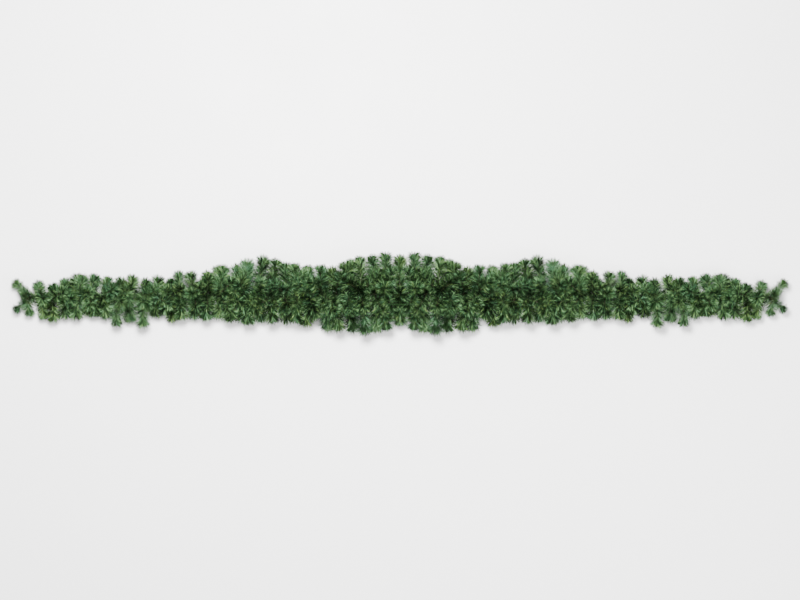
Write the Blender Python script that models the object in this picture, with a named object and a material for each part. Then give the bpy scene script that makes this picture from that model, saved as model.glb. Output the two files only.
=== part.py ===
"""Door garland: 2.7 m of artificial pine, laid out straight on a surface.

A wire spine runs along X. Sprays of needled tips are wound on it, each by a collar of its own
wire. +Y is the far edge, -Y the near edge, +Z the front, and z = 0 is the surface that it lies
on. The stems of the two halves mirror each other about x = 0. Sizes and places are in metres.
"""

import math
import random
from dataclasses import dataclass

import bmesh
import bpy
import numpy as np
from mathutils import Matrix, Vector

# Spine, from the middle to each end
SPRAY_PITCH = 0.0445
SPRAYS_PER_HALF = 29
SPINE_OVERHANG = 0.007
SPINE_HALF = SPRAY_PITCH * SPRAYS_PER_HALF + SPINE_OVERHANG
SPINE_RADIUS = 0.0024
SPINE_MIDDLE_HEIGHT = 0.056
SPINE_END_HEIGHT = 0.027
SPINE_END_SAG = 0.012
SPINE_SPANS = 30
WELD_DISTANCE = 0.00001
SHARP_ANGLE = math.radians(75)

# Half the width of the garland's body
MIDDLE_HALF_WIDTH = 0.140
END_HALF_WIDTH = 0.055

# Needles, and how far they stand round a stem and past its end. They are shorter at the two ends.
NEEDLE_LENGTH = 0.036
SLIM_FROM = 1.17
SLIM_TO = 1.345
LEAST_SIZE = 0.76
FAR_SIZE = 0.95
NEAR_SIZE = 1.06
NEEDLE_LENGTH_RANGE = (0.92, 1.04)
NEEDLE_LEAN = math.radians(52)
END_NEEDLE_LEAN = math.radians(27)
LAST_NEEDLE_LENGTH = 0.028
BRUSH_RADIUS = 0.026
BRUSH_OVERHANG = 0.031
SURFACE_GAP = 0.0008
LEAST_RISE_FROM_FACE = 0.25

# Stems, and where each one's bend is drawn to, as a share of its reach along the spine
STEM_SIDES = 3
STEM_RADIUS = 0.0013
STEM_ROOT_DEPTH = 0.0003
BEND_ALONG = 0.3
STEEP_STEM = 0.5
BARE_ROOT = 0.028
WHORL_SPACING = 0.058
WHORL_TURN = math.radians(30)
BAND_HEIGHT = 0.0028

# Collar that holds a spray on the spine
COLLAR_SEGMENTS = 5
COLLAR_TUBE_SIDES = 3
COLLAR_TUBE_RADIUS = 0.0016
COLLAR_GAP = 0.0004

# Edge tips, which stand low and high by turns
LOW_TIP_HEIGHT = BRUSH_RADIUS + 0.003
HIGH_TIP_SHARE = 0.12
EDGE_HEIGHT_RANGE = (-0.002, 0.014)
FAR_FRINGE = 0.005
NEAR_FRINGE = 0.003
EDGE_ARCH_SHARE = 0.10
EDGE_ARCH_RANGE = (0.0, 0.014)
EDGE_SWAY = 0.006

# Tips on the front of a spray, up to a last spray. Each leans across by a share of the half width,
# one for even sprays and one for odd, and towards the middle by a share of the pitch. It also strays
# along the garland by up to a share of the half width, but not across the middle. Every third of the
# sprays with three has a hollow in place of the middle one.
FRONT_ROWS = (
    (0, ((0.02, 0.02, 0.0),)),
    (15, ((-0.70, -0.54, 0.50), (-0.40, 0.32, 0.15), (0.52, 0.68, 0.50))),
    (24, ((-0.52, -0.36, 0.50), (0.24, 0.44, 0.40))),
    (29, ((-0.22, 0.26, 0.50),)),
)
FRONT_RISE = 0.66
FRONT_RISE_FALL = 0.62
FRONT_RISE_RANGE = (0.0, 0.32)
LEAST_FRONT_RISE = 0.050
FRONT_SPREAD = 0.14
FRONT_SIZE_RANGE = (0.84, 1.12)
FRONT_LEAN_SPREAD = 0.60
FRONT_TIP_LEAST_X = 0.025
FRONT_ARCH = (-0.06, 0.02)
HOLLOW_EVERY = 3

# Tips under the garland, which bend down to the surface
BACK_TIP_EVERY = 2
BACK_TIP_DROP = 0.036
BACK_TIP_REACH = (0.52, 0.64)
BACK_TIP_SWAY = 0.014
BACK_TIP_ARCH = (-0.1, -0.24)

# Room kept between pieces that must not cross
STEM_CLEARANCE = 0.0055
NEEDLE_CLEARANCE = 0.0006
NEEDLE_ROOT_RADIUS = 0.0016
LAYOUT_TRIES = 60
NEEDLE_TRIES = 9
NEEDLE_TURN = math.radians(8)
NEEDLE_TURN_STEP = math.radians(4)
NEEDLE_TILT = math.radians(3)
NEEDLE_TILT_STEP = math.radians(1)
NEEDLE_SHORTER_STEP = 0.05
PARALLEL_SPREAD = 1e-18
LAYOUT_SEED = 2612
NEEDLE_SEED = 9000

NEEDLE_GREEN = (0.060, 0.115, 0.048, 1.0)
WIRE_GREEN = (0.030, 0.045, 0.020, 1.0)
NEEDLE_ROUGHNESS = 0.55
WIRE_ROUGHNESS = 0.45

# Where the needles of each edge tip reach, as (distance from the middle, distance from y = 0)
FAR_EDGE = (
    (0.000, 0.137), (0.053, 0.145), (0.096, 0.136), (0.138, 0.131), (0.164, 0.121), (0.195, 0.113),
    (0.240, 0.096), (0.277, 0.102), (0.323, 0.100), (0.367, 0.107), (0.398, 0.110), (0.426, 0.123),
    (0.471, 0.134), (0.527, 0.123), (0.561, 0.103), (0.604, 0.100), (0.632, 0.100), (0.663, 0.079),
    (0.687, 0.055), (0.730, 0.078), (0.772, 0.079), (0.834, 0.063), (0.876, 0.054), (0.922, 0.066),
    (0.962, 0.058), (1.011, 0.060), (1.056, 0.070), (1.097, 0.068), (1.128, 0.068), (1.160, 0.055),
    (1.203, 0.037), (1.258, 0.045), (1.344, 0.045),
)
NEAR_EDGE = (
    (0.000, 0.114), (0.050, 0.130), (0.080, 0.136), (0.118, 0.145), (0.160, 0.136), (0.211, 0.133),
    (0.246, 0.133), (0.290, 0.090), (0.329, 0.117), (0.359, 0.104), (0.390, 0.105), (0.441, 0.105),
    (0.480, 0.100), (0.520, 0.109), (0.556, 0.100), (0.595, 0.100), (0.632, 0.089), (0.672, 0.095),
    (0.716, 0.091), (0.757, 0.092), (0.785, 0.100), (0.815, 0.073), (0.850, 0.085), (0.890, 0.119),
    (0.939, 0.102), (0.981, 0.116), (1.020, 0.090), (1.049, 0.079), (1.084, 0.080), (1.128, 0.092),
    (1.163, 0.088), (1.203, 0.100), (1.232, 0.090), (1.284, 0.079), (1.341, 0.062),
)
# Edge tips whose needles are longer or shorter than their neighbours', by side and distance
SIZED_TIPS = {
    (1, 0.000): 0.98,
    (1, 0.053): 1.08,
    (1, 0.471): 1.06,
    (1, 0.527): 1.08,
    (1, 0.772): 0.86,
    (1, 1.258): 1.05,
    (1, 1.344): 1.03,
    (-1, 0.785): 0.96,
    (-1, 0.890): 1.00,
    (-1, 0.981): 0.92,
    (-1, 1.232): 0.94,
    (-1, 1.284): 0.92,
    (-1, 1.341): 0.92,
}


@dataclass
class Tip:
    """One needled shoot, whose stem leaves its collar at root, bends towards bend and stops at end."""

    spray: int
    root: Vector
    bend: Vector
    end: Vector
    size: float

    def point(self, t):
        """The stem's centre at share t of its length, kept on the surface where it would pass below."""
        point = self.root * (1 - t) ** 2 + self.bend * 2 * t * (1 - t) + self.end * t**2
        point.z = max(point.z, STEM_RADIUS / 2)
        return point

    def direction(self, t):
        """The stem's heading at share t."""
        return (self.point(min(1.0, t + 0.01)) - self.point(max(0.0, t - 0.01))).normalized()

    def run(self, count=6):
        """The stem as a few straight segments."""
        points = [self.point(i / count) for i in range(count + 1)]
        return list(zip(points, points[1:]))

    def length(self):
        return sum((b - a).length for a, b in self.run())

    def rests(self):
        """True where the end of the stem lies on the surface."""
        return self.end.z <= STEM_RADIUS / 2

    def mirrored(self):
        root, bend, end = (Vector((-p.x, p.y, p.z)) for p in (self.root, self.bend, self.end))
        return Tip(-self.spray, root, bend, end, self.size)


class Obstacles:
    """Tapered rods already in place, each with the number of its owner."""

    def __init__(self):
        self.rods = np.empty((0, 8))
        self.owners = np.empty(0, dtype=int)

    def add(self, start, end, start_radius, end_radius, owner):
        self.rods = np.vstack([self.rods, (*start, *end, start_radius, end_radius)])
        self.owners = np.append(self.owners, owner)

    def room(self, start, end, start_radius, end_radius, owner):
        """The narrowest gap between a new tapered rod and the rods of other owners."""
        rods = self.rods[self.owners != owner]
        if not len(rods):
            return math.inf
        along_new, along_old, distance = closest(np.array(start), np.array(end), rods[:, 0:3], rods[:, 3:6])
        new_radius = start_radius + (end_radius - start_radius) * along_new
        old_radius = rods[:, 6] + (rods[:, 7] - rods[:, 6]) * along_old
        return float((distance - new_radius - old_radius).min())


def closest(start, end, starts, ends):
    """Where one segment and each of many come closest, as shares along them, and how far apart they are."""
    own = end - start
    others = ends - starts
    offset = start - starts
    own_square = own @ own
    other_square = np.einsum("ij,ij->i", others, others)
    across = others @ own
    own_offset = offset @ own
    other_offset = np.einsum("ij,ij->i", others, offset)
    spread = np.maximum(own_square * other_square - across * across, PARALLEL_SPREAD)
    along_own = np.clip((across * other_offset - own_offset * other_square) / spread, 0, 1)
    along_other = np.clip((across * along_own + other_offset) / other_square, 0, 1)
    along_own = np.clip((across * along_other - own_offset) / own_square, 0, 1)
    between = offset + along_own[:, None] * own - along_other[:, None] * others
    return along_own, along_other, np.linalg.norm(between, axis=1)


def spine_point(x):
    """The spine's centre line: highest in the middle, lower and a little nearer at its ends."""
    share = math.cos(math.pi / 2 * min(1.0, abs(x) / SPINE_HALF))
    height = SPINE_END_HEIGHT + (SPINE_MIDDLE_HEIGHT - SPINE_END_HEIGHT) * share
    return Vector((x, -SPINE_END_SAG * (1 - share), height))


def half_width(x):
    """Half the width of the garland's body, which tapers from the middle to the ends."""
    return MIDDLE_HALF_WIDTH - (MIDDLE_HALF_WIDTH - END_HALF_WIDTH) * min(1.0, abs(x) / SPINE_HALF)


def needle_size(x):
    """How long the needles are at x, as a share of the full length."""
    past = min(1.0, max(0.0, (abs(x) - SLIM_FROM) / (SLIM_TO - SLIM_FROM)))
    return 1 - (1 - LEAST_SIZE) * past


def collar_radius():
    """Radius of the collar's ring, whose three-sided tube has a flat side inwards."""
    return (SPINE_RADIUS + COLLAR_GAP) / math.cos(math.pi / COLLAR_SEGMENTS) + COLLAR_TUBE_RADIUS / 2


def make_tip(spray, aim, bulge, size=1.0):
    """A tip on collar number spray whose needles reach aim. Its stem leaves squarely and arches by bulge."""
    centre = spine_point(spray * SPRAY_PITCH)
    away = Vector((0, aim.y - centre.y, aim.z - centre.z)).normalized()
    root = centre + away * (collar_radius() - STEM_ROOT_DEPTH)
    size *= needle_size(aim.x)
    end = aim - (aim - root).normalized() * BRUSH_OVERHANG * size
    bend = root.lerp(end, 0.5) + bulge
    bend.x = root.x + BEND_ALONG * (end.x - root.x) + bulge.x
    return Tip(spray, root, bend, end, size)


def edge_tips(reaches, side, size, fringe):
    """Each edge tip's spray, and a function that draws one try at the tip. They are low and high by turns."""
    for number, (distance, reach) in enumerate(reaches):
        spray = min(SPRAYS_PER_HALF, round(distance / SPRAY_PITCH))

        def draw(rng, distance=distance, reach=reach, spray=spray, number=number):
            high = spine_point(distance).z + HIGH_TIP_SHARE * half_width(distance)
            height = (LOW_TIP_HEIGHT, high)[number % 2] + rng.uniform(*EDGE_HEIGHT_RANGE)
            sway = rng.uniform(-EDGE_SWAY, EDGE_SWAY)
            arch = EDGE_ARCH_SHARE * reach + rng.uniform(*EDGE_ARCH_RANGE)
            aim = Vector((distance, side * (reach + fringe), height))
            own_size = SIZED_TIPS.get((side, distance), size)
            return make_tip(spray, aim, Vector((sway, 0, arch)), own_size)

        yield spray, draw


def front_places(spray):
    """The front tips of one spray, each as its two shares across and its share towards the middle."""
    places = next(places for last, places in FRONT_ROWS if spray <= last)
    hollow = spray % HOLLOW_EVERY == HOLLOW_EVERY - 1 and len(places) == 3
    return places[::2] if hollow else places


def front_tips():
    """The tips on the front of each spray, which fill the garland between its edges."""
    for spray in range(SPRAYS_PER_HALF + 1):
        for *shares, shift in front_places(spray):

            def draw(rng, spray=spray, share=shares[spray % 2], shift=shift):
                x = spray * SPRAY_PITCH
                centre = spine_point(x)
                width = half_width(x)
                across = share + rng.uniform(-FRONT_SPREAD, FRONT_SPREAD)
                rise = FRONT_RISE - FRONT_RISE_FALL * across * across - rng.uniform(*FRONT_RISE_RANGE)
                lean = width * rng.uniform(-FRONT_LEAN_SPREAD, FRONT_LEAN_SPREAD) - shift * SPRAY_PITCH
                aim_x = max(FRONT_TIP_LEAST_X, x + lean) if spray else x
                height = centre.z + max(LEAST_FRONT_RISE, rise * width)
                aim = Vector((aim_x, centre.y + across * width, height))
                bulge = Vector((0, FRONT_ARCH[0] * across * width, FRONT_ARCH[1] * width))
                return make_tip(spray, aim, bulge, rng.uniform(*FRONT_SIZE_RANGE))

            yield spray, draw


def back_tips():
    """A tip under every second spray, bent so that the end of its stem lies on the surface."""
    for spray in range(0, SPRAYS_PER_HALF + 1, BACK_TIP_EVERY):
        side = 1 if spray % 4 else -1

        def draw(rng, spray=spray, side=side):
            x = spray * SPRAY_PITCH
            centre = spine_point(x)
            lean = rng.uniform(-BACK_TIP_SWAY, BACK_TIP_SWAY) if spray else 0.0
            across = side * half_width(x) * rng.uniform(*BACK_TIP_REACH)
            aim = Vector((x + lean, centre.y + across, -BACK_TIP_DROP))
            bulge = Vector((0, BACK_TIP_ARCH[0] * across, BACK_TIP_ARCH[1] * centre.z))
            return make_tip(spray, aim, bulge)

        yield spray, draw


def lay_out_tips():
    """All the tips. Each is drawn anew until its stem is clear of the stems of the other sprays."""
    rng = random.Random(LAYOUT_SEED)
    stems = Obstacles()
    tips = []
    far = edge_tips(FAR_EDGE, 1, FAR_SIZE, FAR_FRINGE)
    near = edge_tips(NEAR_EDGE, -1, NEAR_SIZE, NEAR_FRINGE)
    for spray, draw in (*back_tips(), *far, *near, *front_tips()):
        best, best_room = None, -math.inf
        for _ in range(LAYOUT_TRIES):
            tip = draw(rng)
            room = min(stems.room(a, b, 0, 0, spray) for a, b in tip.run())
            if room > best_room:
                best, best_room = tip, room
            if room > STEM_CLEARANCE:
                break
        pair = (best, best.mirrored()) if spray else (best,)
        for placed in pair:
            tips.append(placed)
            for a, b in placed.run():
                stems.add(a, b, 0, 0, placed.spray)
    return tips


def fixed_obstacles(tips):
    """The spine, the collars and every stem, as rods that the needles keep clear of."""
    obstacles = Obstacles()
    for index in range(-SPRAYS_PER_HALF, SPRAYS_PER_HALF + 1):
        centre = spine_point(index * SPRAY_PITCH)
        reach = Vector((SPRAY_PITCH / 2, 0, 0))
        outer = collar_radius() + COLLAR_TUBE_RADIUS
        obstacles.add(centre - reach, centre + reach, outer, outer, -1)
    for number, tip in enumerate(tips):
        length = tip.length()
        points = [tip.root, *(tip.point(station / length) for station, _ in whorl_stations(length))]
        for a, b in zip(points, points[1:]):
            obstacles.add(a, b, STEM_RADIUS, STEM_RADIUS, number)
    return obstacles


def ring_matrix(tip, t, turn):
    """The place of the stem's three-sided ring at share t. Turn 0 has a flat side down on a level stem."""
    heading = tip.direction(t)
    chord = (tip.end - tip.root).normalized()
    upright = Vector((1, 0, 0)) if chord.z > STEEP_STEM else Vector((0, 0, 1))
    side = heading.cross(upright).normalized()
    frame = Matrix((side, side.cross(heading), heading)).transposed().to_4x4()
    return Matrix.Translation(tip.point(t)) @ frame @ Matrix.Rotation(turn, 4, "Z")


def whorl_stations(length):
    """The ends of the stem's bands, as distances from its root, each with the lean of that band's needles."""
    count = max(1, round((length - BARE_ROOT) / WHORL_SPACING))
    spacing = (length - BARE_ROOT) / count
    stations = []
    for whorl in range(1, count):
        start = BARE_ROOT + spacing * (whorl - 0.5)
        stations += [(start, None), (start + BAND_HEIGHT, NEEDLE_LEAN)]
    stations += [(length - 2 * BAND_HEIGHT, None), (length - BAND_HEIGHT, NEEDLE_LEAN)]
    return [*stations, (length, END_NEEDLE_LEAN)]


def extrude_band(bm, cap, move):
    """Extrudes the end cap of a stem by one band. Returns the new cap and the band's three faces."""
    made = bmesh.ops.extrude_face_region(bm, geom=[cap, *cap.edges])["geom"]
    bmesh.ops.transform(bm, matrix=move, verts=[g for g in made if isinstance(g, bmesh.types.BMVert)])
    cap = next(g for g in made if isinstance(g, bmesh.types.BMFace))
    return cap, [loop.link_loop_radial_next.face for loop in cap.loops]


def raise_needle(bm, face, end):
    """Raises a face of the stem to a point, which makes one needle."""
    bmesh.ops.poke(bm, faces=[face])["verts"][0].co = end


def find_needle_end(rng, face, tip, t, lean, obstacles, owner):
    """An end for a needle, clear of all the rest, or None. Each try turns, tilts and shortens it more."""
    root = face.calc_center_median()
    heading = tip.direction(t)
    offset = root - tip.point(t)
    radial = (offset - offset.dot(heading) * heading).normalized()
    for trial in range(NEEDLE_TRIES):
        turn = rng.uniform(-1, 1) * (NEEDLE_TURN + NEEDLE_TURN_STEP * trial)
        tilt = lean + rng.uniform(-1, 1) * (NEEDLE_TILT + NEEDLE_TILT_STEP * trial)
        length = NEEDLE_LENGTH * tip.size * rng.uniform(*NEEDLE_LENGTH_RANGE)
        length *= 1 - NEEDLE_SHORTER_STEP * trial
        outward = Matrix.Rotation(turn, 3, heading) @ radial
        end = root + length * (math.cos(tilt) * heading + math.sin(tilt) * outward)
        end.z = max(end.z, SURFACE_GAP)
        leaves = (end - root).normalized().dot(face.normal) > LEAST_RISE_FROM_FACE
        if leaves and obstacles.room(root, end, NEEDLE_ROOT_RADIUS, 0.0, owner) > NEEDLE_CLEARANCE:
            return end
    return None


def raise_last_needle(bm, cap, tip, obstacles, owner):
    """Raises the end of the stem to a point straight ahead, if there is room."""
    root = tip.point(1.0)
    end = root + tip.direction(1.0) * LAST_NEEDLE_LENGTH * tip.size
    end.z = max(end.z, SURFACE_GAP)
    if obstacles.room(root, end, NEEDLE_ROOT_RADIUS, 0.0, owner) > NEEDLE_CLEARANCE:
        obstacles.add(root, end, NEEDLE_ROOT_RADIUS, 0.0, owner)
        raise_needle(bm, cap, end)


def tip_mesh(tip, owner, obstacles):
    """A three-sided stem with needles raised from the faces of its short bands and from its end."""
    rng = random.Random(NEEDLE_SEED + owner)
    length = tip.length()
    bm = bmesh.new()
    turn = 0.0
    place = ring_matrix(tip, 0.0, turn)
    ring = bmesh.ops.create_circle(
        bm, cap_ends=True, segments=STEM_SIDES, radius=STEM_RADIUS, matrix=place
    )
    cap = ring["verts"][0].link_faces[0]
    needled = []
    start = 0.0
    for station, lean in whorl_stations(length):
        if lean is None and not tip.rests():
            turn += WHORL_TURN
        moved = ring_matrix(tip, station / length, turn)
        cap, band = extrude_band(bm, cap, moved @ place.inverted())
        place = moved
        if lean is not None:
            needled += [(face, (start + station) / 2 / length, lean) for face in band]
        start = station
    bmesh.ops.recalc_face_normals(bm, faces=bm.faces)
    for face, t, lean in needled:
        end = find_needle_end(rng, face, tip, t, lean, obstacles, owner)
        if end:
            obstacles.add(face.calc_center_median(), end, NEEDLE_ROOT_RADIUS, 0.0, owner)
            raise_needle(bm, face, end)
    raise_last_needle(bm, cap, tip, obstacles, owner)
    bmesh.ops.triangulate(bm, faces=bm.faces)
    mesh = bpy.data.meshes.new("tip")
    bm.to_mesh(mesh)
    bm.free()
    return mesh


def make_material(name, colour, roughness):
    material = bpy.data.materials.new(name)
    material.use_nodes = True
    shader = material.node_tree.nodes["Principled BSDF"]
    shader.inputs["Base Color"].default_value = colour
    shader.inputs["Roughness"].default_value = roughness
    shader.inputs["Metallic"].default_value = 0.0
    return material


def make_spine(home, material):
    """The wire spine: a thin tube along the garland's centre line."""
    curve = bpy.data.curves.new("spine", "CURVE")
    curve.dimensions = "3D"
    curve.bevel_depth = SPINE_RADIUS
    curve.bevel_resolution = 1
    curve.use_fill_caps = True
    spline = curve.splines.new("POLY")
    spline.points.add(SPINE_SPANS)
    for index, point in enumerate(spline.points):
        x = SPINE_HALF * (2 * index / SPINE_SPANS - 1)
        point.co = (*spine_point(x), 1.0)
    wire = bpy.data.objects.new("spine_wire", curve)
    bpy.context.scene.collection.objects.link(wire)
    graph = bpy.context.evaluated_depsgraph_get()
    mesh = bpy.data.meshes.new_from_object(wire.evaluated_get(graph))
    bpy.data.objects.remove(wire)
    bm = bmesh.new()
    bm.from_mesh(mesh)
    bmesh.ops.remove_doubles(bm, verts=bm.verts, dist=WELD_DISTANCE)
    bm.to_mesh(mesh)
    bm.free()
    mesh.materials.clear()
    mesh.materials.append(material)
    mesh.shade_smooth()
    mesh.set_sharp_from_angle(angle=SHARP_ANGLE)
    spine = bpy.data.objects.new("spine", mesh)
    home.objects.link(spine)


def make_spray(name, number, tips, obstacles, home, material):
    """One spray: a collar round the spine with its tips fused to it."""
    bpy.ops.mesh.primitive_torus_add(
        major_segments=COLLAR_SEGMENTS,
        minor_segments=COLLAR_TUBE_SIDES,
        major_radius=collar_radius(),
        minor_radius=COLLAR_TUBE_RADIUS,
        location=spine_point(number * SPRAY_PITCH),
        rotation=(0, math.pi / 2, 0),
    )
    collar = bpy.context.object
    shoots = bpy.data.collections.new(name + "_tips")
    bpy.context.scene.collection.children.link(shoots)
    for owner, tip in tips:
        shoots.objects.link(bpy.data.objects.new("tip", tip_mesh(tip, owner, obstacles)))
    union = collar.modifiers.new("tips", "BOOLEAN")
    union.operation = "UNION"
    union.operand_type = "COLLECTION"
    union.collection = shoots
    graph = bpy.context.evaluated_depsgraph_get()
    mesh = bpy.data.meshes.new_from_object(collar.evaluated_get(graph))
    mesh.materials.clear()
    mesh.materials.append(material)
    spray = bpy.data.objects.new(name, mesh)
    spray.matrix_world = collar.matrix_world
    home.objects.link(spray)
    for used in (*shoots.objects, collar):
        bpy.data.objects.remove(used)
    bpy.data.collections.remove(shoots)


def spray_name(number):
    if number == 0:
        return "spray_middle"
    side = "left" if number < 0 else "right"
    return f"spray_{side}_{abs(number):02d}"


def build():
    for old in list(bpy.data.objects):
        bpy.data.objects.remove(old)
    home = bpy.data.collections.new("door_garland")
    bpy.context.scene.collection.children.link(home)
    needles = make_material("pine_needles", NEEDLE_GREEN, NEEDLE_ROUGHNESS)
    wire = make_material("spine_wire", WIRE_GREEN, WIRE_ROUGHNESS)
    make_spine(home, wire)
    tips = lay_out_tips()
    obstacles = fixed_obstacles(tips)
    for number in range(-SPRAYS_PER_HALF, SPRAYS_PER_HALF + 1):
        own = [(owner, tip) for owner, tip in enumerate(tips) if tip.spray == number]
        make_spray(spray_name(number), number, own, obstacles, home, needles)


build()
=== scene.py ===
"""Dresses the door garland: 2.7 m of artificial pine that lies straight on a pale floor.

Each spray of the frame is replaced by one finer piece with the same layout of tips. A tip is a
twisted stem wire with tufts of film needles round it. The stems are wound on the spine, which is
three twisted wires. The layout follows the same seeded rule as the solids. +X runs along the
garland, +Y to its far edge, +Z to its front, and z = 0 is the floor. All sizes are in metres.
"""

import logging
import math
import random
from collections.abc import Callable, Iterator
from dataclasses import dataclass, field, fields
from enum import Enum

import bmesh
import bpy
import numpy as np
from mathutils import Matrix, Vector


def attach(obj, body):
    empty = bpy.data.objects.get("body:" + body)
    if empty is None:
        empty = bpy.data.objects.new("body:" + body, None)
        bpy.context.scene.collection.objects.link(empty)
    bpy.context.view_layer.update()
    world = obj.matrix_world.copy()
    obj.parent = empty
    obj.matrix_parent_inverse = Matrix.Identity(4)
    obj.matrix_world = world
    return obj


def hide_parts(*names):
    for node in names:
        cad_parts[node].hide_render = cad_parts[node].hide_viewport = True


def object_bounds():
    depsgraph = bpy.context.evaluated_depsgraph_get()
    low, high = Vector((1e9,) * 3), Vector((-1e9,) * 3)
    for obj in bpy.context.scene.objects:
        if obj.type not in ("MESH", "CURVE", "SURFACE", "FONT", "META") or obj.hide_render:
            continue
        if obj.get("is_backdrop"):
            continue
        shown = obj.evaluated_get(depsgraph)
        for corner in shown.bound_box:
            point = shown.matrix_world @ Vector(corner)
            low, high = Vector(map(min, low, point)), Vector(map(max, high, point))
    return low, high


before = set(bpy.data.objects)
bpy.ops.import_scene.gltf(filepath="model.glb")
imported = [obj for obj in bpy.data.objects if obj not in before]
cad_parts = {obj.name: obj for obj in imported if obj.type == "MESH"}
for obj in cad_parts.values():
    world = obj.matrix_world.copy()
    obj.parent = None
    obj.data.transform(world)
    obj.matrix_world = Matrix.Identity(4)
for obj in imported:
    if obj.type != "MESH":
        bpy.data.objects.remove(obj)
log = logging.getLogger("door_garland")

GOLDEN_ANGLE = math.pi * (3 - math.sqrt(5))

# Straight segments that a stem is taken as, for its length and the room beside it
STEM_SEGMENTS = 6
# A stem's direction is read over this share of its length, before and after the place
HEADING_STEP = 0.01
# Keeps the distance between parallel segments from a division by zero
PARALLEL_SPREAD = 1e-18
# A direction with more than this along X takes Z, not X, as the helper for its sides
NEAR_X = 0.8
# How far tufts turn past the golden angle at most, and their spread about their own axes
TURN_JITTER = 0.9
FAN_TURN_SPREAD = 0.6
# Lowest and highest that the ends of needles stop above the floor
FLOOR_GAP = (0.0006, 0.0040)

Pair = tuple[float, float]
Socket = bpy.types.NodeSocket


class Edge(Enum):
    """The two long edges of the garland, by the side of the spine that they are on."""

    FAR = 1
    NEAR = -1


class Skin(Enum):
    """The material slots of a spray's piece."""

    FILM = 0
    WIRE = 1


def unit(vectors: np.ndarray) -> np.ndarray:
    """Vectors, one a row, scaled to a length of one."""
    return vectors / np.linalg.norm(vectors, axis=-1, keepdims=True)


def golden_turns(count: int, rng: np.random.Generator) -> np.ndarray:
    """Turns that spread tufts evenly round a line, each a little off its place."""
    return GOLDEN_ANGLE * np.arange(count) + rng.uniform(0, TURN_JITTER, count)


def mesh_of(bm: bmesh.types.BMesh, name: str) -> bpy.types.Mesh:
    """Makes a mesh of what a bmesh holds, and frees the bmesh.

    Args:
        bm: The bmesh, which is gone afterwards.
        name: Name of the mesh.

    Returns:
        The mesh.
    """
    mesh = bpy.data.meshes.new(name)
    bm.to_mesh(mesh)
    bm.free()
    return mesh


def add_object(name: str, data: bpy.types.ID) -> bpy.types.Object:
    """Adds a new object to the scene.

    Args:
        name: Name of the object.
        data: Its mesh, light or camera.

    Returns:
        The object, at the origin.
    """
    made = bpy.data.objects.new(name, data)
    bpy.context.scene.collection.objects.link(made)
    return made


# Layout of the tips


@dataclass(frozen=True)
class Body:
    """The garland's overall form: the line of its spine, its width and its collars.

    Needles get shorter from slim_from to slim_to, down to least_size of their full length.
    """

    spray_pitch: float = 0.0445
    sprays_per_half: int = 29
    spine_overhang: float = 0.007
    spine_radius: float = 0.0024
    middle_height: float = 0.056
    end_height: float = 0.027
    end_sag: float = 0.012
    middle_half_width: float = 0.140
    end_half_width: float = 0.055
    collar_segments: int = 5
    collar_tube_radius: float = 0.0016
    collar_gap: float = 0.0004
    slim_from: float = 1.17
    slim_to: float = 1.345
    least_size: float = 0.76

    @property
    def spine_half(self) -> float:
        """Half the length of the spine."""
        return self.spray_pitch * self.sprays_per_half + self.spine_overhang

    @property
    def collar_radius(self) -> float:
        """Radius of the ring that a spray's stems leave from."""
        inner = (self.spine_radius + self.collar_gap) / math.cos(math.pi / self.collar_segments)
        return inner + self.collar_tube_radius / 2

    def spine_point(self, x: float) -> Vector:
        """The spine's centre line.

        Args:
            x: Place along the garland, which may pass the spine's end a little.

        Returns:
            The point, highest in the middle, lower and a little nearer at the ends.
        """
        share = math.cos(math.pi / 2 * min(1.0, abs(x) / self.spine_half))
        height = self.end_height + (self.middle_height - self.end_height) * share
        return Vector((x, -self.end_sag * (1 - share), height))

    def half_width(self, x: float) -> float:
        """Half the garland's width at x, which tapers from the middle to the ends."""
        taper = self.middle_half_width - self.end_half_width
        return self.end_half_width + taper * self.fullness(x)

    def fullness(self, x: float) -> float:
        """How full the garland is at x, from 1 in the middle to 0 at the ends."""
        return 1 - min(1.0, abs(x) / self.spine_half)

    def needle_size(self, x: float) -> float:
        """How long the needles are at x, as a share of their full length."""
        past = min(1.0, max(0.0, (abs(x) - self.slim_from) / (self.slim_to - self.slim_from)))
        return 1 - (1 - self.least_size) * past


@dataclass
class Tip:
    """One needled shoot. Its stem leaves the collar at root, bends towards bend, stops at end.

    The stem's centre stays above lowest. Size is the share of their full length that its
    needles have.
    """

    spray: int
    root: Vector
    bend: Vector
    end: Vector
    size: float = 1.0
    lowest: float = 0.00065

    def points(self, shares: np.ndarray) -> np.ndarray:
        """The stem's centre line, lifted where it would pass the floor.

        Args:
            shares: Places on the stem, from 0 at its root to 1 at its end.

        Returns:
            The points, one a row.
        """
        t = np.asarray(shares, dtype=float)[:, None]
        root, bend, end = (np.array(p) for p in (self.root, self.bend, self.end))
        places = root * (1 - t) ** 2 + bend * 2 * t * (1 - t) + end * t**2
        places[:, 2] = np.maximum(places[:, 2], self.lowest)
        return places

    def headings(self, shares: np.ndarray) -> np.ndarray:
        """The stem's direction.

        Args:
            shares: Places on the stem, from 0 at its root to 1 at its end.

        Returns:
            The directions with a length of one, one a row.
        """
        shares = np.asarray(shares, dtype=float)
        after = self.points(np.minimum(1.0, shares + HEADING_STEP))
        return unit(after - self.points(np.maximum(0.0, shares - HEADING_STEP)))

    def run(self) -> list[tuple[np.ndarray, np.ndarray]]:
        """The stem as a few straight segments."""
        places = self.points(np.arange(STEM_SEGMENTS + 1) / STEM_SEGMENTS)
        return list(zip(places, places[1:]))

    def length(self) -> float:
        """The stem's length."""
        return sum(float(np.linalg.norm(b - a)) for a, b in self.run())

    def mirrored(self) -> "Tip":
        """The same tip in the other half."""
        root, bend, end = (Vector((-p.x, p.y, p.z)) for p in (self.root, self.bend, self.end))
        return Tip(-self.spray, root, bend, end, self.size)


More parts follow.
